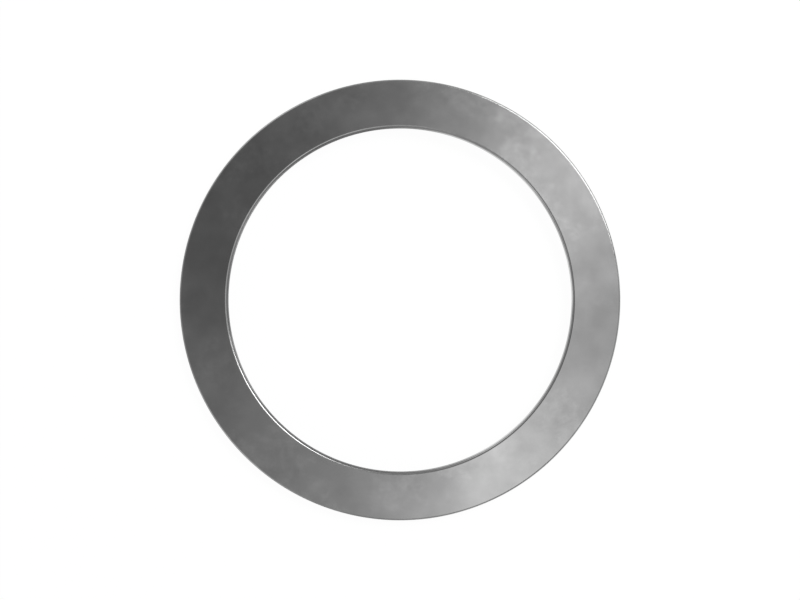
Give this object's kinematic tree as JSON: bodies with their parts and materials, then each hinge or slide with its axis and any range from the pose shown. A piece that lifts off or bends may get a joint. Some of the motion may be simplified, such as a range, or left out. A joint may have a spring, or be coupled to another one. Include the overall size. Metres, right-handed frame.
{
  "type": "disc spring",
  "caption": "Conical disc spring: a flat-sectioned steel ring formed into a shallow cone with rounded edges, pressed along its axis to hold a preload.",
  "frame": {"origin": "centre of the circle on which the low edge of the rim rests", "axes": "+Z along the spring's axis, from the low edge of the rim to the raised edge of the bore; X and Y are any two directions across the ring"},
  "size_m": [0.109, 0.109, 0.004],
  "materials": {
    "spring_steel": "satin"
  },
  "bodies": {
    "root": {"disc_spring": "spring_steel"}
  },
  "joints": []
}
